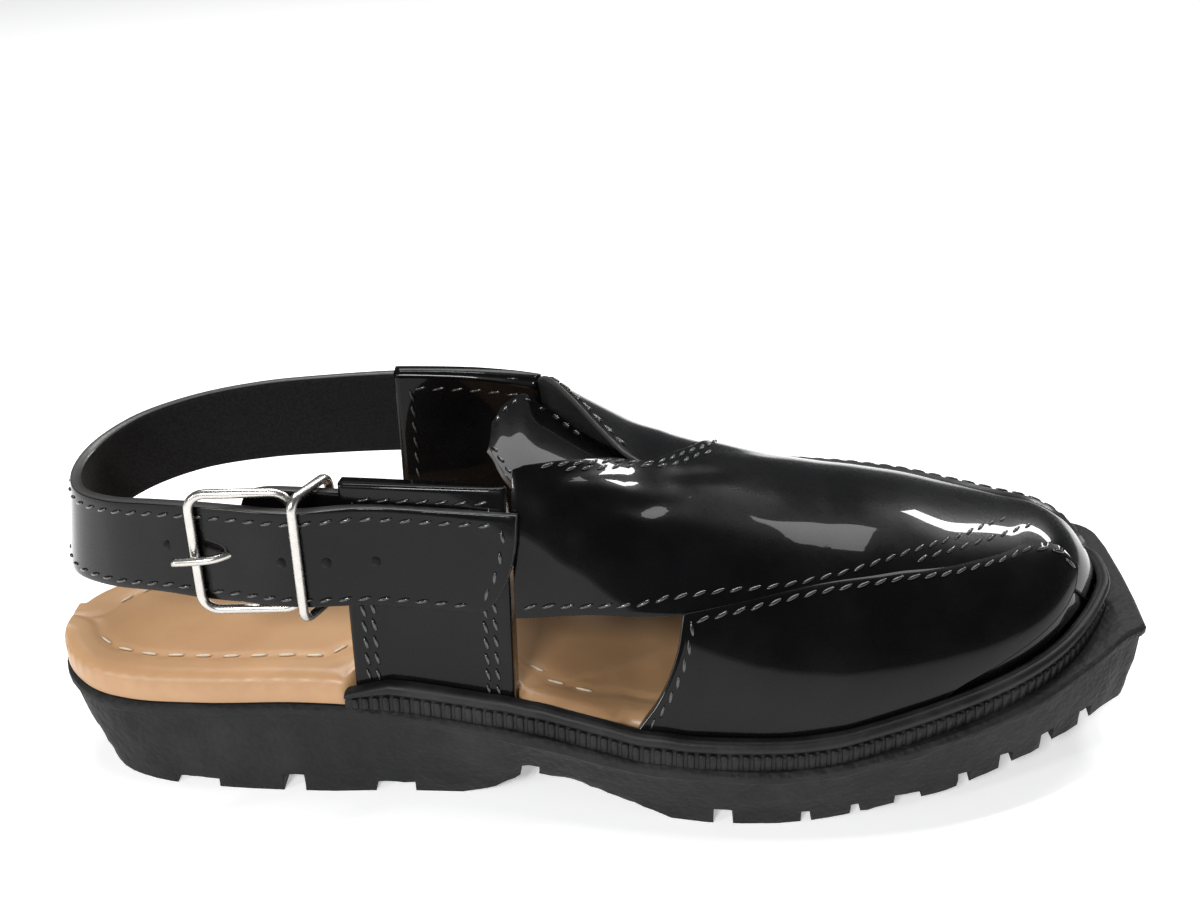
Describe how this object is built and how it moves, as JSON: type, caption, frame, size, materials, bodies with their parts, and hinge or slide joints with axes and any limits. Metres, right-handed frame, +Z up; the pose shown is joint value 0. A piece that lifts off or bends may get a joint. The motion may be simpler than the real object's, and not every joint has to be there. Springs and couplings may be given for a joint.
{
  "type": "sandal",
  "caption": "Right-foot open sandal with crossed patent straps, side panels, tongue and a buckled heel strap on a thick lugged sole with a ribbed welt.",
  "frame": {"origin": "middle of the sole's length and width, on the floor under the tread", "axes": "+X towards the toe, +Y towards the inner (big toe) side, +Z up"},
  "size_m": [0.3, 0.1039, 0.0962],
  "materials": {
    "outsole_rubber": "matte, fine grain",
    "welt_rubber": "satin",
    "insole_leather": "smooth, slight sheen",
    "upper_leather": "black patent, glossy",
    "strap_leather": "black patent, glossy",
    "buckle_metal": "satin nickel"
  },
  "bodies": {
    "root": {"outsole": "outsole_rubber", "welt": "welt_rubber", "insole": "insole_leather", "upper": "upper_leather", "tongue": "upper_leather", "heel_strap": "strap_leather", "buckle_chape": "strap_leather", "buckle_frame": "buckle_metal", "buckle_prong": "buckle_metal", "keeper_loop": "buckle_metal"}
  },
  "joints": []
}
